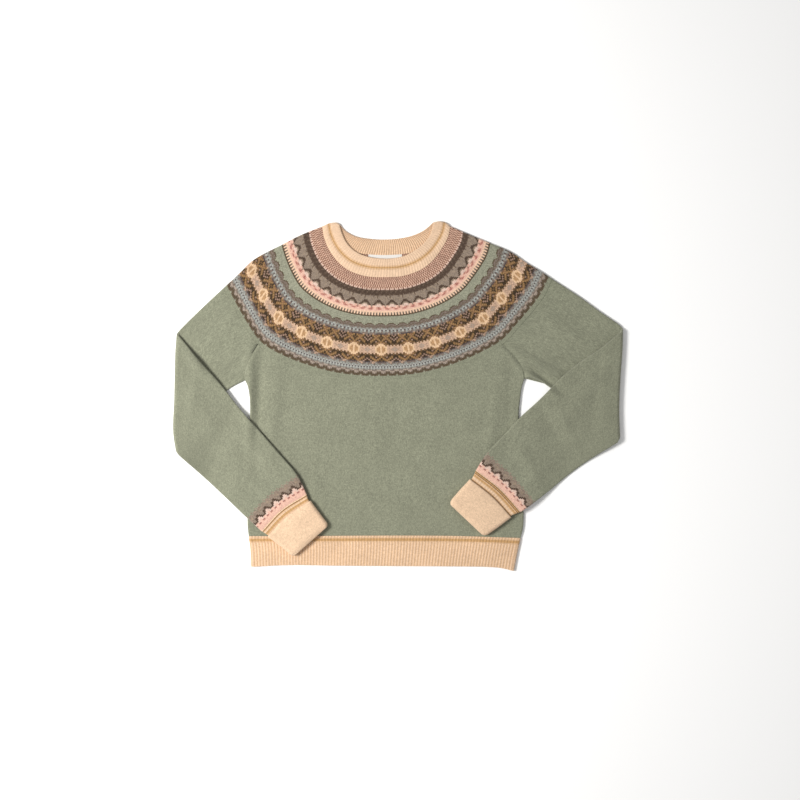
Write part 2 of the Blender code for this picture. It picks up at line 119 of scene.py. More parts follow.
# The yoke's yarns, by the letters of its charts: red, green and blue from 0 to 255, and how
# strongly each is marled. The bands of rib add theirs further down.
YARNS = {
    "s": (144, 146, 125, 0.62),
    "S": (154, 154, 134, 0.75),
    "f": (221, 183, 160, 0.90),
    "F": (143, 98, 80, 0.80),
    "w": (230, 200, 184, 0.60),
    "c": (86, 69, 57, 0.70),
    "C": (112, 94, 80, 0.60),
    "t": (150, 133, 118, 0.80),
    "d": (84, 74, 74, 0.50),
    "p": (238, 192, 172, 0.40),
    "e": (212, 158, 140, 0.50),
    "r": (178, 114, 102, 0.50),
    "R": (172, 116, 104, 0.40),
    "m": (232, 196, 158, 0.50),
    "h": (244, 206, 176, 0.40),
    "o": (92, 78, 60, 0.50),
    "O": (108, 94, 79, 0.50),
    "v": (127, 113, 103, 0.80),
    "j": (156, 138, 118, 0.70),
    "k": (162, 126, 84, 0.60),
    "K": (186, 146, 106, 0.60),
    "g": (145, 142, 134, 0.70),
    "G": (148, 151, 147, 0.70),
    "L": (176, 176, 169, 0.50),
    "b": (117, 90, 61, 0.70),
    "D": (66, 52, 36, 0.60),
    "x": (136, 101, 76, 0.60),
    "i": (164, 133, 116, 0.50),
    "q": (182, 152, 130, 0.60),
    "n": (209, 175, 149, 0.60),
    "l": (172, 156, 142, 0.60),
}

# The zones of the chart: how many stitches cross the front, where its middle falls in a repeat, the
# share of the yoke's depth where the zone starts and ends, and its rows, from the neck down. Each
# row's stitches repeat.
FLOWERS = [
    "DiDkbxbkDkbxbkDi",
    "iDDbkxkbDbkxkbDD",
    "DDiDbkbDbDbkbDiD",
    "DiDbkxkbDbkxkbDi",
    "iDbkbDbkDkbDbkbD",
    "DDkbDiDbkbDiDbkD",
    "DDbDDbkxkxkbDDbD",
]
NOUGHTS_AND_CROSSES = [
    "DbDDbbxmmmxbbDDb",
    "nbnbnbmmmmmbnbnb",
    "qnnnnmmKmKmmnnnn",
    "lqnqnmKKmKKmnqnq",
    "qlqnnmKKmKKmnnql",
    "lqnqnmKKmKKmnqnq",
    "qnnnnmmKmKmmnnnn",
    "nbnbnbmmmmmbnbnb",
    "DbDDbbxmmmxbbDDb",
]
YOKE_ZONES = [
    (188, 10, 0.0, 0.380,
     ["Ff", "Ff", "fF", "Ff", "Ff", "fF", "fF", "Ff", "fwFw",
      "Cccc", "cccC", "c", "cCccccCc",
      "tCtjCtttjt", "jtttCjtttt", "tjtttttjtt", "ttttcccttt", "tttccccctt", "ttccjjjcct", "tccjwwwjcc",
      "jppwwwwwpp", "Reppe", "repper", "p", "h", "vh", "Oh", "o"]),
    (170, 6, 0.380, 0.553,
     ["S", "S", "S", "S", "S", "S", "SSoooS", "SovvvO", "OvvOvv", "vOOvOO",
      "vvgvgv", "gGLg", "dL", "vGgL", "vgvv"]),
    (208, 11, 0.553, 0.839,
     ["dvvqvdddddddvqvv"] + FLOWERS + NOUGHTS_AND_CROSSES + FLOWERS[:1:-1]
     + ["ddvqqvdddddvqqvd", "gvvqvgvvvvvgvqvv"]),
    (264, 6, 0.839, 1.0,
     ["gvgG", "LGLg", "dL", "GL", "ggvg", "llvvvl", "vOlllO", "oovlvo", "Oooooo", "SOoooO",
      "s", "s", "s"]),
]


def smooth_path(knots, steps=10):
    """Returns a function that gives the points at shares, 0 to 1 by length, of a smooth curve."""
    knots = np.array(knots, dtype=float)
    padded = np.vstack([2 * knots[0] - knots[1], knots, 2 * knots[-1] - knots[-2]])
    t = np.linspace(0, 1, steps, endpoint=False)[:, None]
    run = []
    for before, start, end, after in zip(padded, padded[1:], padded[2:], padded[3:]):
        bend = (2 * before - 5 * start + 4 * end - after) * t
        twist = (3 * start - before - 3 * end + after) * t * t
        run.append(start + 0.5 * t * (end - before + bend + twist))
    run = np.vstack(run + [knots[-1:]])
    along = np.concatenate([[0], np.cumsum(np.linalg.norm(np.diff(run, axis=0), axis=1))])
    first = (run[1] - run[0]) / np.linalg.norm(run[1] - run[0])
    last = (run[-1] - run[-2]) / np.linalg.norm(run[-1] - run[-2])

    def point(share):
        share = np.asarray(share, dtype=float)
        place = np.clip(share, 0, 1) * along[-1]
        on_path = np.stack([np.interp(place, along, run[:, axis]) for axis in (0, 1)], axis=-1)
        past_end = (share * along[-1] - place)[..., None]
        return on_path + past_end * np.where(past_end < 0, first, last)

    return point


def patch(start, end, low, high):
    """Fills four edges: start and end run across from low to high, and low and high run along."""
    def point(along, across):
        along, across = np.broadcast_arrays(np.asarray(along, dtype=float), across)
        a, b = along[..., None], across[..., None]
        between_ends = (1 - a) * start(across) + a * end(across)
        between_sides = (1 - b) * low(along) + b * high(along)
        corners = ((1 - a) * ((1 - b) * start(0.0) + b * start(1.0))
                   + a * ((1 - b) * end(0.0) + b * end(1.0)))
        return between_ends + between_sides - corners

    return point


def width_across(plan, along, samples=24):
    points = plan(along, np.linspace(0, 1, samples + 1))
    return float(np.sum(np.linalg.norm(np.diff(points, axis=0), axis=1)))


def fold_height(x, y, folds):
    """How high the soft folds of a table stand at points, or how deep the hollows lie."""
    total = 0.0
    for centre_x, centre_y, turn, half_length, half_width, height in folds:
        cosine, sine = np.cos(radians(turn)), np.sin(radians(turn))
        lengthwise = (x - centre_x) * cosine + (y - centre_y) * sine
        sideways = (y - centre_y) * cosine - (x - centre_x) * sine
        total = total + height * np.exp(-(lengthwise / half_length) ** 2 - (sideways / half_width) ** 2)
    return total


def seam_dip(distance, depth=SEAM_DIP):
    """How far the cloth dips next to a seam, at a distance from it."""
    return depth * np.exp(-(distance / SEAM_DIP_WIDTH) ** 2)


def tube_columns(upper, lower, edge):
    """Columns once round a flattened tube, with that many faces over it, under it and round each
    edge, as rows of shares across it, of sideways parts and of upward parts."""
    turn = np.linspace(pi / 2, -pi / 2, edge + 1)[1:-1]
    share = np.concatenate([np.linspace(0, 1, upper + 1), np.ones(edge - 1),
                            np.linspace(1, 0, lower + 1), np.zeros(edge - 1)])
    sideways = np.concatenate([np.zeros(upper + 1), np.cos(turn), np.zeros(lower + 1), -np.cos(turn)])
    up = np.concatenate([np.ones(upper + 1), np.sin(turn), -np.ones(lower + 1), -np.sin(turn)])
    return np.stack([share, sideways, up])


def on_section(columns, width, height, depth):
    """Gives how far across and how high columns lie, at a depth below the tube's outer face."""
    share, sideways, up = columns
    edge = height / 2
    radius = edge - depth
    return (edge + share * (width - 2 * edge) + radius * sideways) / width, edge + radius * up


def linear(yarn):
    """A yarn's colour as the renderer counts it, with its marling as the fourth value."""
    *colour, marling = YARNS[yarn]
    parts = [WOOL_DEPTH * ((part / 255 + 0.055) / 1.055) ** 2.4 for part in colour]
    return (*parts, marling)


def charted(rows, columns, phase=0):
    """The yarns of a chart's faces, two to a stitch, from its rows of repeated letters."""
    stitches = np.arange(columns) // 2 + phase
    return np.array([[linear(row[stitch % len(row)]) for stitch in stitches] for row in rows])


def knit_part(points, stitches, yarns):
    """One grid of faces with its points, and its UV map and its yarns' colours for each face."""
    rows, columns = len(points) - 1, len(points[0]) - 1
    grid = bmesh.new()
    bmesh.ops.create_grid(grid, x_segments=columns, y_segments=rows, size=0.5)
    part = bpy.data.meshes.new("part")
    grid.to_mesh(part)
    grid.free()
    flat = np.empty(len(part.vertices) * 3)
    part.vertices.foreach_get("co", flat)
    across, along = np.rint((flat.reshape(-1, 3)[:, :2] + 0.5) * (columns, rows)).astype(int).T
    moved = (points[along, across] - (*LAY_CENTRE, 0)) * MILLIMETRE
    part.vertices.foreach_set("co", moved.ravel())
    corners = np.empty(len(part.loops), dtype=int)
    part.loops.foreach_get("vertex_index", corners)
    across, along = across[corners], along[corners]
    part.uv_layers.new(name="knit").data.foreach_set("uv", stitches[along, across].ravel())
    row, column = along.reshape(-1, 4).min(axis=1), across.reshape(-1, 4).min(axis=1)
    yarn = part.color_attributes.new(name="yarn", type="FLOAT_COLOR", domain="CORNER")
    yarn.data.foreach_set("color", np.repeat(yarns[row, column], 4, axis=0).ravel())
    return part


def closed(array, axis):
    """Repeats an array's first row or column after its last, so that it closes on itself."""
    first = np.take(array, [0], axis=axis)
    return np.concatenate([array, first], axis=axis)


def knit_ring(place, profile, columns, yarn_rows, row_numbers, stitch_numbers=None):
    """A wall that closes on itself: a closed profile of (along, depth) carried round the columns.

    Without stitch numbers, the stitches are counted by width from the middle of the upper layer."""
    points = np.array([place(along, depth, columns) for along, depth in profile])
    points = closed(closed(points, 1), 0)
    if stitch_numbers is None:
        steps = np.linalg.norm(np.diff(points, axis=1), axis=2)
        round_it = np.concatenate([np.zeros((len(points), 1)), np.cumsum(steps, axis=1)], axis=1)
        upper = np.argmin(np.abs(columns[0] - 0.5) + (columns[2] < 1))
        across = (round_it - round_it[:, [upper]]) / STITCH_WIDTH
    else:
        across = np.tile(stitch_numbers, (len(points), 1))
    rows = closed(np.broadcast_to(np.asarray(row_numbers, dtype=float).reshape(len(profile), -1),
                                  (len(profile), columns.shape[1])), 1)
    stitches = np.stack([across, closed(rows, 0)], axis=-1)
    return knit_part(points, stitches, yarn_rows)


def knitted_piece(name, parts, material):
    """Joins the parts of a piece, welds their seams, turns their faces out and adds it."""
    mesh = bmesh.new()
    for part in parts:
        mesh.from_mesh(part)
        bpy.data.meshes.remove(part)
    bmesh.ops.remove_doubles(mesh, verts=mesh.verts, dist=WELD_DISTANCE)
    bmesh.ops.recalc_face_normals(mesh, faces=mesh.faces)
    data = bpy.data.meshes.new(name)
    mesh.to_mesh(data)
    mesh.free()
    data.shade_smooth()
    data.set_sharp_from_angle(angle=radians(SHARP_ANGLE))
    data.materials.append(material)
    piece = bpy.data.objects.new(name, data)
    bpy.context.scene.collection.objects.link(piece)
    return piece


def add_node(tree, kind, inputs=(), **settings):
    """Adds a shader node, sets it, and gives its inputs their values or the sockets they read."""
    node = tree.nodes.new("ShaderNode" + kind)
    node.location = (180 * len(tree.nodes), 0)
    for name, value in settings.items():
        setattr(node, name, value)
    for socket, value in dict(inputs).items():
        if isinstance(value, bpy.types.NodeSocket):
            tree.links.new(value, node.inputs[socket])
        else:
            node.inputs[socket].default_value = value
    return node


def knitted_wool(name, relief, nap, sheen):
    """Wool knitted in V stitches, from the UV map named knit and the yarns' colours on the faces."""
    material = bpy.data.materials.new(name)
    material.use_nodes = True
    tree = material.node_tree
    surface = tree.nodes["Principled BSDF"]

    def maths(operation, first, second=0.0, third=0.0):
        node = add_node(tree, "Math", {0: first, 1: second, 2: third}, operation=operation)
        return node.outputs[0]

    # Where the stitches lie, drawn a little unevenly, and how their two legs slant
    place = add_node(tree, "TexCoord").outputs["Object"]
    yarn = add_node(tree, "VertexColor", layer_name="yarn")
    stitch = add_node(tree, "SeparateXYZ", {0: add_node(tree, "UVMap", uv_map="knit").outputs[0]})
    unevenness = add_node(tree, "TexNoise", {"Vector": place, "Scale": 110.0, "Detail": 1.0})
    drift = maths("MULTIPLY_ADD", unevenness.outputs["Fac"], 0.36, -0.18)
    across = maths("ADD", stitch.outputs["X"], drift)
    from_middle = maths("ABSOLUTE", maths("MULTIPLY_ADD", maths("FRACT", across), 2.0, -1.0))
    slanted = maths("MULTIPLY_ADD", from_middle, STITCH_SLANT, -STITCH_SLANT / 2)
    row = maths("ADD", stitch.outputs["Y"], slanted)

    def rounded(place_on_it):
        """1 along the middle of a strand and 0 at its sides."""
        from_centre = maths("MULTIPLY_ADD", maths("FRACT", place_on_it), 2.0, -1.0)
        return maths("SUBTRACT", 1.0, maths("MULTIPLY", from_centre, from_centre))

    # How high the strands stand, and noises for the yarn's flecks, clouds, streaks and fibres
    leg = rounded(maths("MULTIPLY", across, 2.0))
    strand = maths("MULTIPLY", leg, maths("MULTIPLY_ADD", rounded(row), 0.55, 0.45))
    strand_place = add_node(tree, "CombineXYZ", {
        0: maths("FLOOR", maths("MULTIPLY", across, 2.0)), 1: maths("FLOOR", row)})
    fleck = add_node(tree, "TexWhiteNoise", {"Vector": strand_place.outputs[0]}, noise_dimensions="2D")
    heather = add_node(tree, "TexNoise", {"Vector": place, "Scale": 560.0, "Detail": 2.0, "Roughness": 0.6})
    cloudy = add_node(tree, "TexNoise", {"Vector": place, "Scale": 26.0, "Detail": 2.0})
    fibre = add_node(tree, "TexNoise", {"Vector": place, "Scale": 1500.0, "Detail": 2.0})
    streak_place = add_node(tree, "CombineXYZ", {
        0: maths("MULTIPLY", across, 0.3), 1: maths("MULTIPLY", stitch.outputs["Y"], 0.9)})
    streaky = add_node(tree, "TexNoise", {"Vector": streak_place.outputs[0], "Scale": 1.0, "Detail": 1.0})

    # The yarn's colour, flecked where it is marled, with painted shade that darkens it in the hollows
    # between the strands
    mixed_fleck = maths("MULTIPLY_ADD", fleck.outputs["Value"], 0.5,
                        maths("MULTIPLY_ADD", heather.outputs["Fac"], 1.6, -1.05))
    marled = maths("MULTIPLY_ADD", maths("MULTIPLY", mixed_fleck, yarn.outputs["Alpha"]), 0.9, 1.0)
    # Painted shade: the colour falls to 0.8 in the hollows between the strands and rises a little on their
    # tops
    painted_strand_shade = maths("MULTIPLY_ADD", strand, 0.26, 0.80)
    clouded = maths("MULTIPLY", maths("MULTIPLY_ADD", cloudy.outputs["Fac"], 0.24, 0.88),
                    maths("MULTIPLY_ADD", streaky.outputs["Fac"], 0.24, 0.88))
    brightness = maths("MULTIPLY", marled, maths("MULTIPLY", painted_strand_shade, clouded))
    colour = add_node(tree, "VectorMath", {0: yarn.outputs["Color"], "Scale": brightness},
                      operation="SCALE")
    tree.links.new(colour.outputs[0], surface.inputs["Base Color"])

    # The relief of strands and fibres, and the sheen of the nap
    height = maths("MULTIPLY_ADD", strand, relief, maths("MULTIPLY", fibre.outputs["Fac"], nap))
    bump = add_node(tree, "Bump", {"Height": height, "Distance": MILLIMETRE, "Strength": 0.8})
    tree.links.new(bump.outputs[0], surface.inputs["Normal"])
    surface.inputs["Roughness"].default_value = 0.92
    surface.inputs["Specular IOR Level"].default_value = 0.15
    surface.inputs["Sheen Weight"].default_value = sheen
    surface.inputs["Sheen Roughness"].default_value = 0.5
    surface.inputs["Sheen Tint"].default_value = (1.0, 0.98, 0.94, 1.0)
    return material


def on_two_layers(front, back, height, dip):
    """Places a flattened ring whose upper layer follows one plan and whose lower layer another."""
    def place(along, depth, columns):
        up = columns[2]
        nominal = float(np.mean(along))
        over = on_section(columns, width_across(front, nominal), height, depth)
        under = on_section(columns, width_across(back, nominal), height, depth)
        points = np.where((up >= 0)[:, None], front(along, over[0]), back(along, under[0]))
        x, y = points.T
        relief = fold_height(x, y, BODY_FOLDS + PRESSED_FOLDS) - dip(along, over[0])
        return np.stack([x, y, over[1] + relief * (1 + up) / 2], axis=1)

    return place


def hanging(plan):
    """A yoke's plan whose rows hang lower in the middle than halfway between its edges."""
    def point(along, across):
        along = np.asarray(along, dtype=float)
        middle = np.sin(pi * np.clip(across, 0, 1))
        return plan(along + YOKE_BULGE * 4 * along * (1 - along) * middle, across)

    return point


fair_isle_wool = knitted_wool("fair isle wool", relief=0.32, nap=0.10, sheen=0.25)
yoke_seam_front = smooth_path(YOKE_SEAM_FRONT)
yoke_seam_back = smooth_path(YOKE_SEAM_BACK)
shoulders = smooth_path(SHOULDER_LEFT), smooth_path(SHOULDER_RIGHT)
yoke_place = on_two_layers(
    hanging(patch(smooth_path(NECK_SEAM_FRONT), yoke_seam_front, *shoulders)),
    hanging(patch(smooth_path(NECK_SEAM_BACK), yoke_seam_back, *shoulders)), YOKE_HEIGHT,
    lambda along, across: (seam_dip(along * YOKE_DEPTH)
                           + seam_dip((1 - along) * YOKE_DEPTH, LINKING_DIP)))


def charted_ring(place, chart, columns, start, end, wall, first_row, phase=0):
    """A zone of charted rows between two shares of a piece's length, on a plain inner face."""
    halves = np.arange(columns.shape[1])
    sway = np.where(halves % 2, 0.5, -0.5) * STITCH_SLANT
    lines = np.arange(len(chart) + 1)
    shares = start + (end - start) * lines / len(chart)
    outer, row_numbers = [], []
    for line, share in zip(lines, shares):
        swayed = sway * (0 < line < len(chart))
        outer.append((share + swayed * (end - start) / len(chart), 0.0))
        row_numbers.append(first_row + line + swayed)
    inner = [(np.full(len(halves), share), wall) for share in (end, (start + end) / 2, start)]
    row_numbers += [np.full(len(halves), first_row + row) for row in (len(chart), len(chart) / 2, 0)]
    yarns = charted(chart + [chart[-1], chart[len(chart) // 2], chart[0], chart[0]], len(halves), phase)
    return knit_ring(place, outer + inner, columns, yarns, row_numbers, np.arange(len(halves) + 1) / 2)


def yoke_parts():
    first_row = 0
    for stitches, middle, start, end, chart in YOKE_ZONES:
        flat = stitches - EDGE_STITCHES
        columns = tube_columns(2 * flat, 2 * flat, 2 * EDGE_STITCHES)
        trimmed = max(start, SEAM_GAP / YOKE_DEPTH), min(end, 1 - SEAM_GAP / YOKE_DEPTH)
        phase = middle - flat // 2
        yield charted_ring(yoke_place, chart, columns, *trimmed, YOKE_WALL, first_row, phase)
        first_row += len(chart)


yoke = knitted_piece("yoke_fair_isle", yoke_parts(), fair_isle_wool)
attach(yoke, "root")
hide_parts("yoke")

# Neckband
# A doubled band of fine rib in oatmeal wool, with a mustard stripe, sewn round the neck edge. Its
# back shows its inside through the neck, and its front lies over it.
NECKBAND_WALL = 2.6
NECKBAND_HEIGHT = 6.0
NECKBAND_DEPTH = 28
NECK_RIBS = 60
NECK_RIB_RAISE = 0.65
NECK_RIB_RAISE_INSIDE = 1.1
NECK_EDGE_FRONT = [(-77, 575), (-73, 561), (-65, 544), (-50, 529), (-28, 520), (0, 517), (26, 520),
                   (46, 529), (64, 543), (75, 559), (80, 578)]
NECK_EDGE_BACK = [(-77, 575), (-66, 563), (-48, 554), (-24, 550), (0, 549), (24, 551), (46, 556),
                  (65, 565), (80, 578)]
NECK_FOLD_LEFT = [(-106, 571), (-95, 576), (-84, 577.5), (-77, 575)]
NECK_FOLD_RIGHT = [(108, 571), (101, 577), (90, 579.5), (80, 578)]
NECK_ROWS = 14
NECK_ROLL_ROWS = 7
RIB_FACES = 4
EDGE_FACES = 8
RIB_FULLNESS = 0.7
ROLL_FULLNESS = 0.7
NECK_STRIPE = {4: "z", 5: "y", 6: "z"}
STRIPE_SHARE = 0.385
STRIPE_GROOVE = 0.9
# The yarn z is a colour of the stripes, and it is also laid on every other stitch of the ribbed faces, the
# purl stitches in the grooves, as painted shade between the ribs.
YARNS.update({
    "y": (203, 160, 110, 0.40),
    "z": (226, 188, 150, 0.35),
    "B": (241, 207, 175, 0.22),
})


def rib_raise(columns, ribs):
    """1 along the top of each rib and 0 between ribs, on the flat layers."""
    share, _, up = columns
    return np.where(np.abs(up) == 1, (0.5 + 0.5 * np.sin(2 * pi * share * ribs)) ** RIB_FULLNESS, 0.0)


def ribbed(place, ribs, outside, inside, wall):
    """Raises ribs on the faces of a band that look up: its front's outside and its back's inside."""
    def ribbed_place(along, depth, columns):
        points = place(along, depth, columns)
        raised = np.where(columns[2] == 1, outside * (depth < wall / 2), inside * (depth >= wall / 2))
        points[:, 2] += raised * rib_raise(columns, ribs)
        return points

    return ribbed_place


oatmeal_wool = knitted_wool("oatmeal wool rib", relief=0.26, nap=0.12, sheen=0.30)
neck_folds = smooth_path(NECK_FOLD_LEFT), smooth_path(NECK_FOLD_RIGHT)
neck_place = on_two_layers(
    patch(smooth_path(NECK_SEAM_FRONT), smooth_path(NECK_EDGE_FRONT), *neck_folds),
    patch(smooth_path(NECK_SEAM_BACK), smooth_path(NECK_EDGE_BACK), *neck_folds), NECKBAND_HEIGHT,
    lambda along, across: (seam_dip(along * NECKBAND_DEPTH)
                           + seam_dip((along - STRIPE_SHARE) * NECKBAND_DEPTH, STRIPE_GROOVE)))


def neckband_part():
    ribs = NECK_RIBS * RIB_FACES
    columns = tube_columns(ribs, ribs, EDGE_FACES)
    rows = np.linspace(SEAM_GAP / NECKBAND_DEPTH, 1 - NECKBAND_WALL / NECKBAND_DEPTH, NECK_ROWS)
    turn = np.linspace(-pi / 2, pi / 2, NECK_ROLL_ROWS)[1:-1]
    roll = [(rows[-1] + NECKBAND_WALL / NECKBAND_DEPTH * np.cos(angle) ** ROLL_FULLNESS,
             NECKBAND_WALL / 2 * (1 + np.sin(angle))) for angle in turn]
    profile = [(row, 0.0) for row in rows] + roll + [(row, NECKBAND_WALL) for row in rows[::-1]]
    # The inside rows alternate B and z by stitch: z on the purl stitches is painted shade in the grooves
    # between the ribs.
    yarns = charted([NECK_STRIPE.get(row, "B") if depth == 0 else "Bz"
                     for row, (along, depth) in enumerate(profile)], columns.shape[1])
    row_numbers = [along * NECKBAND_DEPTH / STITCH_HEIGHT for along, _ in profile]
    stitch_numbers = np.arange(columns.shape[1] + 1) * 2 / RIB_FACES
    place = ribbed(neck_place, NECK_RIBS, NECK_RIB_RAISE, NECK_RIB_RAISE_INSIDE, NECKBAND_WALL)
    return knit_ring(place, profile, columns, yarns, row_numbers, stitch_numbers)


neckband = knitted_piece("neckband_rib", [neckband_part()], oatmeal_wool)
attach(neckband, "root")
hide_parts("neckband")

# Label
# A small bare label of white woven tape. Its upper edge is sewn to the inside of the back yoke,
# just under the neckband's seam, and its lower edge is free.
LABEL_THICKNESS = 0.4
LABEL_WIDTH = 56
LABEL_DROP = 22
LABEL_LIFT = 0.35
LABEL_TUCK = 1.5
LABEL_COLUMNS = 20
LABEL_ROWS = 9
TAPE_THREADS = (60, 30)
TAPE_COLOUR = (0.80, 0.79, 0.77, 0.1)


def label_part():
    """A flat tape, closed to an edge at both ends, whose free end lifts a little in its middle."""
    middle_x, seam_y = smooth_path(NECK_SEAM_BACK)(0.5)
    lowest = YOKE_WALL + SEAM_GAP
    share, _, up = tube_columns(LABEL_COLUMNS, LABEL_COLUMNS, 1)

    def place(along):
        x = middle_x + (share - 0.5) * LABEL_WIDTH
        y = np.full(len(x), seam_y + LABEL_TUCK - along * LABEL_DROP)
        lift = LABEL_LIFT * np.sin(pi * share) * along
        thickness = LABEL_THICKNESS * (0 < along < 1)
        z = lowest + (LABEL_THICKNESS + thickness * up) / 2 + lift
        return np.stack([x, y, z], axis=1)

    rows = np.linspace(0, 1, LABEL_ROWS)
    points = closed(np.array([place(row) for row in rows]), 1)
    across, along = (np.linspace(0, threads, count)
                     for threads, count in zip(TAPE_THREADS, points.shape[1::-1]))
    yarns = np.full((len(rows), len(share), 4), TAPE_COLOUR)
    return knit_part(points, np.stack(np.meshgrid(across, along), axis=-1), yarns)


def woven_tape():
    material = bpy.data.materials.new("white woven tape")
    material.use_nodes = True
    tree = material.node_tree
    surface = tree.nodes["Principled BSDF"]
    place = add_node(tree, "TexCoord").outputs["Object"]
    weave = add_node(tree, "TexNoise", {"Vector": place, "Scale": 2200.0, "Detail": 1.0})
    bump = add_node(tree, "Bump", {"Height": weave.outputs["Fac"], "Distance": MILLIMETRE * 0.1})
    tree.links.new(bump.outputs[0], surface.inputs["Normal"])
    surface.inputs["Base Color"].default_value = (0.68, 0.66, 0.63, 1.0)
    surface.inputs["Roughness"].default_value = 0.6
    surface.inputs["Sheen Weight"].default_value = 0.1
    return material


label = knitted_piece("neck_label_tape", [label_part()], woven_tape())
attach(label, "root")
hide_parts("label")

# Body
# The back and the front, two jersey panels of sage marl that meet at the sides and hang from the
# yoke's seam, with short raglan edges to the sleeves. The front lies on the back.
JERSEY_WALL = 1.8
BODY_HEIGHT = 5.4
BODY_LENGTH = 290
BODY_WIDTH = 455
SIDE_FACES = 5
UNDERARM_SHARE = 0.8
RAGLAN_DIP = 0.85
RAGLAN_WELT = 4.5
RAGLAN_WELT_RAISE = 0.70
RAGLAN_FADE_START = 0.84
RAGLAN_FADE_RUN = 0.04
CLEAR_OF_RAGLAN = 60
LEFT_RAGLAN_SHARE = 0.163
RIGHT_RAGLAN_SHARE = 0.797
SIDE_LEFT = [(-229, 53), (-231, 80), (-230, 164), (-227, 247), (-227, 281), (-230, 302), (-235, 314)]
SIDE_RIGHT = [(226, 50), (231, 80), (229, 164), (223, 247), (225, 281), (228, 302), (232, 315)]
RAGLAN_LEFT = [(-235, 314), (-236, 325), (-228, 348), tuple(yoke_seam_front(LEFT_RAGLAN_SHARE))]
RAGLAN_RIGHT = [(232, 315), (228, 334), (216, 353), tuple(yoke_seam_front(RIGHT_RAGLAN_SHARE))]
HEM_SEAM = [(-229, 53), (-110, 53.5), (0, 54), (110, 53.5), (226, 50)]
BODY_COLUMNS = 130
BODY_ROWS = 84

sage_wool = knitted_wool("sage wool jersey", relief=0.30, nap=0.12, sheen=0.30)
raglan_left = smooth_path(RAGLAN_LEFT)
raglan_right = smooth_path(RAGLAN_RIGHT)
hem_seam = smooth_path(HEM_SEAM)


def portion(path, start, end):
    """A path's part between two shares, run from the first to the second."""
    return lambda share: path(start + (end - start) * np.asarray(share))


def joined(first, second, meeting):
    """Runs along one path up to the meeting share, and along the other from there."""
    def point(share):
        share = np.asarray(share, dtype=float)
        before = share[..., None] < meeting
        return np.where(before, first(share / meeting), second((share - meeting) / (1 - meeting)))

    return point


def ease(share):
    share = np.clip(share, 0.0, 1.0)
    return share * share * (3 - 2 * share)


def raglan_dip(distance):
    """A dip with a soft welt beside it, at a distance from a raglan seam."""
    return seam_dip(distance, RAGLAN_DIP) - seam_dip(distance - RAGLAN_WELT, RAGLAN_WELT_RAISE)


def seam_shares(yoke_seam, samples=2000):
    """Finds where along a yoke seam the two raglan seams end."""
    shares = np.linspace(0, 1, samples)
    points = yoke_seam(shares)
    return [float(shares[np.argmin(np.linalg.norm(points - raglan(1.0), axis=1))])
            for raglan in (raglan_left, raglan_right)]


def body_panel(yoke_seam, facing):
    """The front, facing 1, or the back, facing -1, as a wall whose sides turn to meet the other."""
    left = joined(smooth_path(SIDE_LEFT), raglan_left, UNDERARM_SHARE)
    right = joined(smooth_path(SIDE_RIGHT), raglan_right, UNDERARM_SHARE)
    plan = patch(hem_seam, portion(yoke_seam, *seam_shares(yoke_seam)), left, right)
    turn = np.linspace(0, pi / 2, SIDE_FACES + 1)[:-1]
    share = np.linspace(0, 1, BODY_COLUMNS + 1)
    share = np.concatenate([np.zeros(SIDE_FACES), share, np.ones(SIDE_FACES)])
    sideways = np.concatenate([-np.cos(turn), np.zeros(BODY_COLUMNS + 1), np.cos(turn[::-1])])
    up = facing * np.concatenate([np.sin(turn), np.ones(BODY_COLUMNS + 1), np.sin(turn[::-1])])
    outer = np.stack([share, sideways, up, np.zeros(len(share))])
    inner = outer[:, ::-1].copy()
    inner[3] = JERSEY_WALL
    columns = np.concatenate([outer, inner], axis=1)
    trim = SEAM_GAP / BODY_WIDTH

    def place(along, pinch):
        depth = columns[3] + (JERSEY_WALL / 2 - columns[3]) * pinch
        up = np.where(along > UNDERARM_SHARE, facing, columns[2])
        section = np.stack([columns[0], columns[1], up])
        across, z = on_section(section, width_across(plan, along), BODY_HEIGHT, depth)
        z = z + np.where(up == 0, facing * SEAM_GAP / 2, 0)
        x, y = plan(along, trim + across * (1 - 2 * trim)).T
        below = ease((RAGLAN_FADE_START - along) / RAGLAN_FADE_RUN)
        to_raglan = np.minimum(across, 1 - across) * BODY_WIDTH + CLEAR_OF_RAGLAN * below
        dip = (raglan_dip(to_raglan) + seam_dip((1 - along) * BODY_LENGTH, LINKING_DIP)
               + seam_dip(along * BODY_LENGTH))
        relief = fold_height(x, y, BODY_FOLDS + PRESSED_FOLDS) - dip
        return np.stack([x, y, z + relief * np.maximum(up, 0)], axis=1)

    start, end = SEAM_GAP / BODY_LENGTH, 1 - SEAM_GAP / BODY_LENGTH
    rows = [(start, 1.0)] + [(row, 0.0) for row in np.linspace(start, end, BODY_ROWS)] + [(end, 1.0)]
    points = closed(np.array([place(*row) for row in rows]), 1)
    stitches = points[..., :2] / (STITCH_WIDTH, -STITCH_HEIGHT)
    yarns = charted(["s"] * (len(rows) - 1), points.shape[1] - 1)
    return knit_part(points, stitches, yarns)


back = knitted_piece("back_jersey", [body_panel(yoke_seam_back, -1)], sage_wool)
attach(back, "root")
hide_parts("back")

front = knitted_piece("front_jersey", [body_panel(yoke_seam_front, 1)], sage_wool)
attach(front, "root")
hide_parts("front")

# Hem rib
# A band of rib in oatmeal wool, knitted in one round the bottom of the body, with a mustard stripe
# under the seam.
RIB_WALL = 2.0
HEM_HEIGHT = 5.8
HEM_DEPTH = 50
HEM_RIBS = 88
HEM_RIB_RAISE = 0.8
HEM_EDGE = [(-225, 2), (-160, 5), (-80, 4), (0, 3.5), (100, 3), (180, 1.5), (215, -5)]
HEM_SIDE_LEFT = [(-225, 2), (-226, 27), (-229, 53)]
HEM_SIDE_RIGHT = [(215, -5), (220, 22), (226, 50)]
HEM_ROWS = 24
HEM_ROUNDING = 0.4
HEM_STRIPE = {18: "z", 19: "y", 20: "y", 21: "z"}
YARNS["A"] = (243, 207, 174, 0.30)

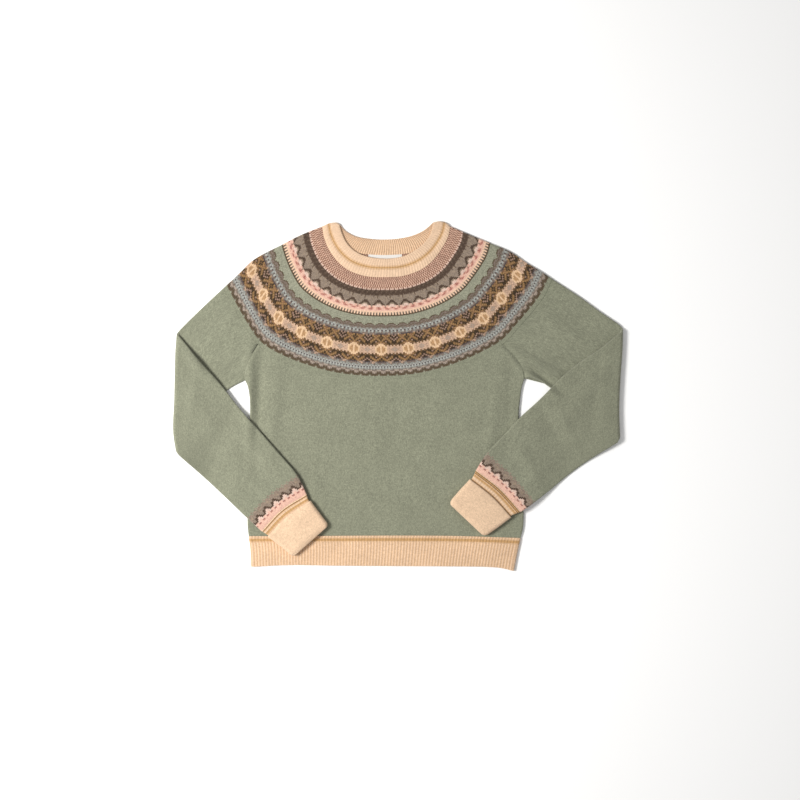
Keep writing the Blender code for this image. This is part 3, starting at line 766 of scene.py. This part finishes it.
hem_plan = patch(smooth_path(HEM_EDGE), hem_seam, smooth_path(HEM_SIDE_LEFT), smooth_path(HEM_SIDE_RIGHT))
hem_place = on_two_layers(hem_plan, hem_plan, HEM_HEIGHT,
                          lambda along, across: seam_dip((1 - along) * HEM_DEPTH))


def hem_part():
    ribs = HEM_RIBS * RIB_FACES
    columns = tube_columns(ribs, ribs, EDGE_FACES)
    rows = np.linspace(0, 1 - SEAM_GAP / HEM_DEPTH, HEM_ROWS)
    profile = ([(row, 0.0) for row in rows]
               + [(row, RIB_WALL) for row in rows[::-4]] + [(-HEM_ROUNDING / HEM_DEPTH, RIB_WALL / 2)])
    # The outer rows alternate A and z by stitch: z on the purl stitches is painted shade in the grooves
    # between the ribs.
    yarns = charted([HEM_STRIPE.get(row, "Az") if depth == 0 else "A"
                     for row, (along, depth) in enumerate(profile)], columns.shape[1])
    row_numbers = [-along * HEM_DEPTH / STITCH_HEIGHT for along, _ in profile]
    stitch_numbers = np.arange(columns.shape[1] + 1) * 2 / RIB_FACES
    place = ribbed(hem_place, HEM_RIBS, HEM_RIB_RAISE, 0.0, RIB_WALL)
    return knit_ring(place, profile, columns, yarns, row_numbers, stitch_numbers)


hem = knitted_piece("hem_rib_band", [hem_part()], oatmeal_wool)
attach(hem, "root")
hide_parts("hem_rib")

# Sleeves
# Two tapered jersey tubes of sage marl, sewn to the raglan edges and the yoke's seam. Each lies out
# flat, folds up at the elbow and comes back over itself and the body, with a charted band at its end.
SLEEVE_HEIGHT = 5.0
LAYER_GAP = 1.2
UPPER_ARM_LENGTH = 80
ELBOW_LENGTH = 12
FOREARM_LENGTH = 290
UPPER_ROWS = 32
ELBOW_ROWS = 14
FOREARM_ROWS = 76
UPPER_SMOOTH_SHARE = 0.2
FOREARM_SMOOTH_SHARE = 0.12
SLEEVE_RAGLAN_SHARE = 0.33
CUFF_TURN_GAP = 0.6
CUFF_CLEARANCE = 0.2
CUFF_REST = HEM_HEIGHT + HEM_RIB_RAISE + CUFF_CLEARANCE
FOREARM_REST = SLEEVE_HEIGHT + LAYER_GAP
FOREARM_REST_AT_CUFF = CUFF_REST + RIB_WALL + CUFF_TURN_GAP
SLEEVE_COLUMNS = 56
BAND_START = 0.893
BAND_STITCHES = 43

# A forearm starts to sink this far out from what carries it, and is down after this much more.
# Neither happens at the elbow, and towards the cuff it rises to lie on the hem's rib.
SAG_START = 10
SAG_RUN = 70
ELBOW_SHARE = 0.15
CUFF_RISE_SHARE = 0.7

# Each edge runs from the body to the elbow, and from the elbow to the cuff. The elbow's two lines
# are those along which the arm leaves the surface and comes down again on itself. The lower edge
# of the forearm runs at low_speed at its end, and turned_share of the cuff shows its first part.
ARMS = {
    "left": dict(
        outward=-1, body_side=-229, under_edge=((-235, 314), (-350, 200)),
        upper_low=[(-235, 314), (-265, 297), (-310, 261), (-345, 206)],
        upper_high=[(-271, 468), (-300, 441), (-326, 416), (-344, 398)],
        elbow_under=[(-345, 206), (-349, 240), (-347, 290), (-346, 360), (-344, 398)],
        elbow_over=[(-345, 188), (-350, 225), (-348, 280), (-346, 350), (-343, 386)],
        fore_low=[(-345, 188), (-310, 157), (-276, 126), (-243, 95), (-229, 82), (-207, 62)],
        fore_high=[(-343, 386), (-310, 346), (-276, 308), (-243, 266), (-210, 229), (-176, 190),
                   (-148, 157), (-131.5, 124)],
        cuff_seam=[(-207, 62), (-174, 97), (-131.5, 124)],
        cuff_low=[(-207, 62), (-196, 55), (-173, 38), (-152, 20)],
        cuff_high=[(-131.5, 124), (-127, 112), (-112, 91), (-96, 70)],
        low_speed=1.85, turned_share=0.215),
    "right": dict(
        outward=1, body_side=228, under_edge=((240, 317), (392, 222)),
        upper_low=[(232, 315), (242, 318), (259, 312.5), (276, 300.5), (320, 272), (386, 229)],
        upper_high=[(279, 483), (325, 453), (358, 429), (386, 410)],
        elbow_under=[(386, 229), (385, 270), (387, 320), (391, 370), (392, 406)],
        elbow_over=[(387, 209), (385, 260), (387, 310), (390, 360), (391, 393)],
        fore_low=[(387, 209), (342, 181), (308, 157), (275, 130), (241, 104), (226, 94)],
        fore_high=[(391, 393), (358, 366), (325, 344), (291, 316), (258, 282), (225, 252), (200, 225),
                   (170, 193), (151, 164)],
        cuff_seam=[(226, 94), (192, 132), (151, 164)],
        cuff_low=[(226, 94), (209, 87), (186, 70), (163, 54)],
        cuff_high=[(151, 164), (143, 148), (125, 128), (107, 107)],
        low_speed=1.5, turned_share=0.27),
}

# Soft folds of the forearms, on their upper face only
FOREARM_FOLDS = [
    (-320, 346, -47, 34, 8, 4.2),
    (-318, 300, 80, 60, 10, 1.6),
    (-300, 250, -52, 70, 14, 1.3),
    (-282, 222, 62, 44, 8, -1.0),
    (-262, 196, 66, 50, 11, 1.0),
    (-235, 180, -50, 60, 12, -0.7),
    (-205, 130, -46, 50, 10, 1.0),
    (-215, 200, -48, 90, 9, 0.9),
    (352, 300, 84, 70, 10, -1.4),
    (336, 292, 50, 70, 14, 2.2),
    (300, 240, -64, 44, 9, 1.6),
    (262, 205, 45, 60, 13, -1.0),
    (236, 176, -60, 40, 10, 1.5),
    (225, 130, 42, 60, 10, 1.4),
    (310, 205, 30, 40, 9, 1.1),
]

# The band at the end of each sleeve, from the elbow's side down to the cuff
SLEEVE_BAND = ["stss", "tstt", "t", "jttttttj", "tttccttt", "ttccCcct", "tccwwcct", "ccwwwwcc",
               "pwwppwwp", "pRRppRRp", "p", "p", "pppp"]


def hastened(path, speed):
    """The same path, run at that speed at its end, so that rows stay level between uneven edges."""
    return lambda share: path(share - (speed - 1) * np.square(share) * (1 - np.asarray(share)))


def outside_supports(x, y, arm):
    """How far points are from both the upper arm and the body, where the forearm can sink."""
    (start_x, start_y), (end_x, end_y) = arm["under_edge"]
    run = hypot(end_x - start_x, end_y - start_y)
    beyond_arm = ((end_x - start_x) * (y - start_y) - (end_y - start_y) * (x - start_x)) / run
    return np.minimum(-beyond_arm * arm["outward"], (x - arm["body_side"]) * arm["outward"])


def forearm_rest(x, y, along, arm):
    """The height of the forearm's underside: on the arm or the body, or sunk to the surface."""
    sag = ease((outside_supports(x, y, arm) - SAG_START) / SAG_RUN) * ease(along / ELBOW_SHARE)
    rise = ease((along - CUFF_RISE_SHARE) / (1 - CUFF_RISE_SHARE))
    lifted = (FOREARM_REST_AT_CUFF - FOREARM_REST) * rise
    return FOREARM_REST * (1 - sag) + lifted + fold_height(x, y, BODY_FOLDS)


def sleeve_parts(side):
    """A sleeve's plain tube, from the body over the elbow to the band, and then the band."""
    arm = ARMS[side]
    raglan = raglan_left if side == "left" else raglan_right
    to_shoulder = (LEFT_RAGLAN_SHARE, 0) if side == "left" else (RIGHT_RAGLAN_SHARE, 1)
    seam = joined(raglan, portion(yoke_seam_front, *to_shoulder), SLEEVE_RAGLAN_SHARE)
    elbow_under, elbow_over = smooth_path(arm["elbow_under"]), smooth_path(arm["elbow_over"])
    cuff_seam = smooth_path(arm["cuff_seam"])
    upper = patch(seam, elbow_under, smooth_path(arm["upper_low"]), smooth_path(arm["upper_high"]))
    fore_low = hastened(smooth_path(arm["fore_low"]), arm["low_speed"])
    fore = patch(elbow_over, cuff_seam, fore_low, smooth_path(arm["fore_high"]))
    bend_centre = SLEEVE_HEIGHT + LAYER_GAP / 2
    elbow_width = width_across(upper, 1.0)

    def place_upper(along, depth, columns):
        across, z = on_section(columns, width_across(upper, along), SLEEVE_HEIGHT, depth)
        x, y = upper(along, across).T
        relief = fold_height(x, y, BODY_FOLDS + PRESSED_FOLDS)
        relief = relief * ease((1.0 - along) / UPPER_SMOOTH_SHARE)
        from_seam = along * UPPER_ARM_LENGTH
        dip = np.where(across < SLEEVE_RAGLAN_SHARE, raglan_dip(from_seam),
                       seam_dip(from_seam, LINKING_DIP))
        return np.stack([x, y, z + (relief - dip) * (1 + columns[2]) / 2], axis=1)

    def place_elbow(along, depth, columns):
        across, z = on_section(columns, elbow_width, SLEEVE_HEIGHT, depth)
        x, y = ((1 - along) * elbow_under(across) + along * elbow_over(across)).T
        radius = bend_centre - z
        turn = pi * along
        return np.stack([x + arm["outward"] * radius * np.sin(turn), y,
                         bend_centre - radius * np.cos(turn)], axis=1)

    def place_fore(along, depth, columns):
        nominal = float(np.mean(along))
        across, z = on_section(columns, width_across(fore, nominal), SLEEVE_HEIGHT, depth)
        x, y = fore(along, across).T
        dip = seam_dip((1 - along) * FOREARM_LENGTH)
        crease = fold_height(x, y, FOREARM_FOLDS) * ease(along / FOREARM_SMOOTH_SHARE)
        crease = (crease - dip) * (1 - columns[2]) / 2
        return np.stack([x, y, forearm_rest(x, y, along, arm) + SLEEVE_HEIGHT - z + crease], axis=1)

    stretches = {"upper": (place_upper, 0, UPPER_ARM_LENGTH),
                 "elbow": (place_elbow, UPPER_ARM_LENGTH, ELBOW_LENGTH),
                 "fore": (place_fore, UPPER_ARM_LENGTH + ELBOW_LENGTH, FOREARM_LENGTH)}
    rows = ([("upper", row) for row in np.linspace(SEAM_GAP / UPPER_ARM_LENGTH, 1, UPPER_ROWS)]
            + [("elbow", row) for row in np.linspace(0, 1, ELBOW_ROWS)[1:-1]]
            + [("fore", row) for row in np.linspace(0, BAND_START, FOREARM_ROWS)])
    inner_rows = rows[::-8] + [rows[0]]
    profile = [(row, 0.0) for row in rows] + [(row, JERSEY_WALL) for row in inner_rows]

    def place(row, depth, columns):
        stretch, along = row
        return stretches[stretch][0](along, depth, columns)

    row_numbers = [(stretches[stretch][1] + along * stretches[stretch][2]) / STITCH_HEIGHT
                   for (stretch, along), _ in profile]
    columns = tube_columns(SLEEVE_COLUMNS, SLEEVE_COLUMNS, EDGE_FACES)
    yarns = charted(["s"] * len(profile), columns.shape[1])
    yield knit_ring(place, profile, columns, yarns, row_numbers)

    columns = tube_columns(2 * BAND_STITCHES, 2 * BAND_STITCHES, 2 * EDGE_STITCHES)
    yield charted_ring(place_fore, SLEEVE_BAND, columns, BAND_START, 1 - SEAM_GAP / FOREARM_LENGTH,
                       JERSEY_WALL, row_numbers[len(rows) - 1])


for side in ARMS:
    sleeve = knitted_piece("sleeve_jersey_" + side, sleeve_parts(side), sage_wool)
    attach(sleeve, "root")
    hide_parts("sleeve_" + side)

# Cuffs
# Long cuffs of oatmeal wool, sewn to the ends of the sleeves and turned back on themselves. What
# shows of the first part is ribbed and striped, and the turned part is smooth.
CUFF_HEIGHT = 4.6
CUFF_PUFF = 2.4
CUFF_RIM = 0.11
CUFF_CORNER = 0.10
CUFF_RIM_PUFF = 0.1
CUFF_PUFF_RUN = 0.3
CUFF_CROOK = 0.45
CUFF_LIP = 0.9
CUFF_RIBS = 18
CUFF_RIB_RAISE = 0.6
CUFF_EDGE_FACES = 10
HIDDEN_ROWS = 8
TURNED_ROWS = 24
ROLL_ROWS = 11
QUARTERS = (0.25, 0.5, 0.75)
# Each string lists the shown part's rows from the seam to the turned edge. In the right cuff's, the brown u
# second from the end is painted shadow under the turned lip; its other rows, and the u rows near the seam,
# are stripes of yarn.
CUFF_STRIPES = {"left": "auzayyza", "right": "auyuzyyzaazua"}
YARNS.update({
    "a": (238, 205, 172, 0.40),
    "u": (148, 112, 74, 0.40),
})


def cuff_part(side):
    """One wall: along the cuff, back outside itself, round a lip, and along its outside and inside."""
    arm = ARMS[side]
    low, high = smooth_path(arm["cuff_low"]), smooth_path(arm["cuff_high"])
    seam = smooth_path(arm["cuff_seam"])
    wrist = smooth_path([arm["cuff_low"][-1], arm["cuff_high"][-1]])
    plan = patch(seam, wrist, low, high)
    length = float(np.linalg.norm(seam(0.5) - wrist(0.5)))
    start, turned = SEAM_GAP / length, arm["turned_share"]
    outer, gap = -(RIB_WALL + CUFF_TURN_GAP), -CUFF_TURN_GAP
    middle, reach = (outer + RIB_WALL) / 2, (RIB_WALL - outer) / 2 / length
    bend = 1 - reach

    stripes = CUFF_STRIPES[side]
    shown = [(along, 0.0) for along in np.linspace(start, turned, len(stripes) + 1)]
    hidden = [(along, 0.0) for along in np.linspace(turned, bend, HIDDEN_ROWS)[1:]]
    crook = [(bend + reach * CUFF_CROOK * np.sin(pi * t), gap * t) for t in QUARTERS]
    under = [(along, gap) for along in np.linspace(bend, turned, HIDDEN_ROWS)]
    lip = [(turned - CUFF_LIP / length * np.sin(pi * t), gap + (outer - gap) * t) for t in QUARTERS]
    over = [(along, outer) for along in np.linspace(turned, bend, TURNED_ROWS)]
    roll = [(bend + reach * np.cos(angle), middle + (RIB_WALL - middle) * np.sin(angle))
            for angle in np.linspace(-pi / 2, pi / 2, ROLL_ROWS)[1:-1]]
    inside = [(along, RIB_WALL) for along in np.linspace(bend, start, HIDDEN_ROWS)]
    profile = shown + hidden + crook + under + lip + over + roll + inside

    def place(along, depth, columns):
        up = columns[2]
        shows = depth == 0.0 and along < turned
        raised = CUFF_RIB_RAISE * rib_raise(columns, CUFF_RIBS) * (up == -1) * shows
        across, z = on_section(columns, width_across(plan, along), CUFF_HEIGHT, depth - raised)
        to_rim = np.clip((1 - along) / CUFF_RIM, 0, 1)
        drawn_in = 1 - CUFF_CORNER * (1 - to_rim) ** 2
        x, y = plan(along, 0.5 + (across - 0.5) * drawn_in).T
        dip = seam_dip(along * length) * (depth >= 0)
        swell = np.sin(pi * np.clip(across, 0, 1)) * ease((along - turned) / CUFF_PUFF_RUN)
        rim_share = CUFF_RIM_PUFF + (1 - CUFF_RIM_PUFF) * ease(to_rim)
        crown = CUFF_PUFF * swell ** 0.5 * rim_share - dip
        return np.stack([x, y, FOREARM_REST_AT_CUFF + CUFF_HEIGHT - z + fold_height(x, y, BODY_FOLDS)
                         + crown * (1 - up) / 2], axis=1)

    ribs = CUFF_RIBS * RIB_FACES
    columns = tube_columns(ribs, ribs, CUFF_EDGE_FACES)
    letters = list(stripes) + ["a"] * (len(profile) - len(stripes))
    yarns = charted(letters, columns.shape[1])
    steps = [hypot((b[0] - a[0]) * length, b[1] - a[1]) for a, b in zip(profile, profile[1:])]
    return knit_ring(place, profile, columns, yarns, np.cumsum([0] + steps) / STITCH_HEIGHT)


for side in ARMS:
    cuff = knitted_piece("cuff_rib_" + side, [cuff_part(side)], oatmeal_wool)
    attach(cuff, "root")
    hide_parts("cuff_" + side)

# Floor
# A plain sheet of pale matt paper under the garment, so wide that its edges lie far outside the
# picture when it is seen from above.
FLOOR_SIZE = 6.0
FLOOR_COLOUR = (0.98, 0.98, 0.98, 1.0)

floor_mesh = bmesh.new()
bmesh.ops.create_grid(floor_mesh, x_segments=1, y_segments=1, size=FLOOR_SIZE / 2)
floor_data = bpy.data.meshes.new("floor")
floor_mesh.to_mesh(floor_data)
floor_mesh.free()
floor = bpy.data.objects.new("floor", floor_data)
bpy.context.scene.collection.objects.link(floor)
pale = bpy.data.materials.new("pale paper")
pale.use_nodes = True
paper = pale.node_tree.nodes["Principled BSDF"]
paper.inputs["Base Color"].default_value = FLOOR_COLOUR
paper.inputs["Roughness"].default_value = 0.9
floor_data.materials.append(pale)

# Light
# One soft round lamp up to the left, aimed at the middle of the garment, and an even white
# surround. The colours are shown as they are, without a film curve.
KEY_PLACE = (-1.40, -0.02, 1.55)
KEY_SIZE = 0.70
KEY_POWER = 50.8
KEY_COLOUR = (1.0, 0.985, 0.96)
SURROUND = 0.485

key = bpy.data.objects.new("key", bpy.data.lights.new("key", "AREA"))
key.data.shape = "DISK"
key.data.size = KEY_SIZE
key.data.energy = KEY_POWER
key.data.color = KEY_COLOUR
key.location = KEY_PLACE
key.rotation_euler = (-Vector(KEY_PLACE)).to_track_quat("-Z", "Y").to_euler()
bpy.context.scene.collection.objects.link(key)
world = bpy.data.worlds.new("surround")
world.use_nodes = True
world.node_tree.nodes["Background"].inputs["Color"].default_value = (1.0, 1.0, 1.0, 1.0)
world.node_tree.nodes["Background"].inputs["Strength"].default_value = SURROUND
bpy.context.scene.world = world
bpy.context.scene.view_settings.view_transform = "Standard"

# Camera
# Straight above the garment, as the photograph was taken, with a long lens and a square frame.
# It is not turned, so the picture's right is across and its top is up.
CAMERA_PLACE = (0.0022, -0.0062, 3.162)
CAMERA_LENS = 85
CAMERA_SENSOR = 36

camera = bpy.data.objects.new("camera", bpy.data.cameras.new("camera"))
camera.data.lens = CAMERA_LENS
camera.data.sensor_width = CAMERA_SENSOR
camera.location = CAMERA_PLACE
bpy.context.scene.collection.objects.link(camera)
bpy.context.scene.camera = camera
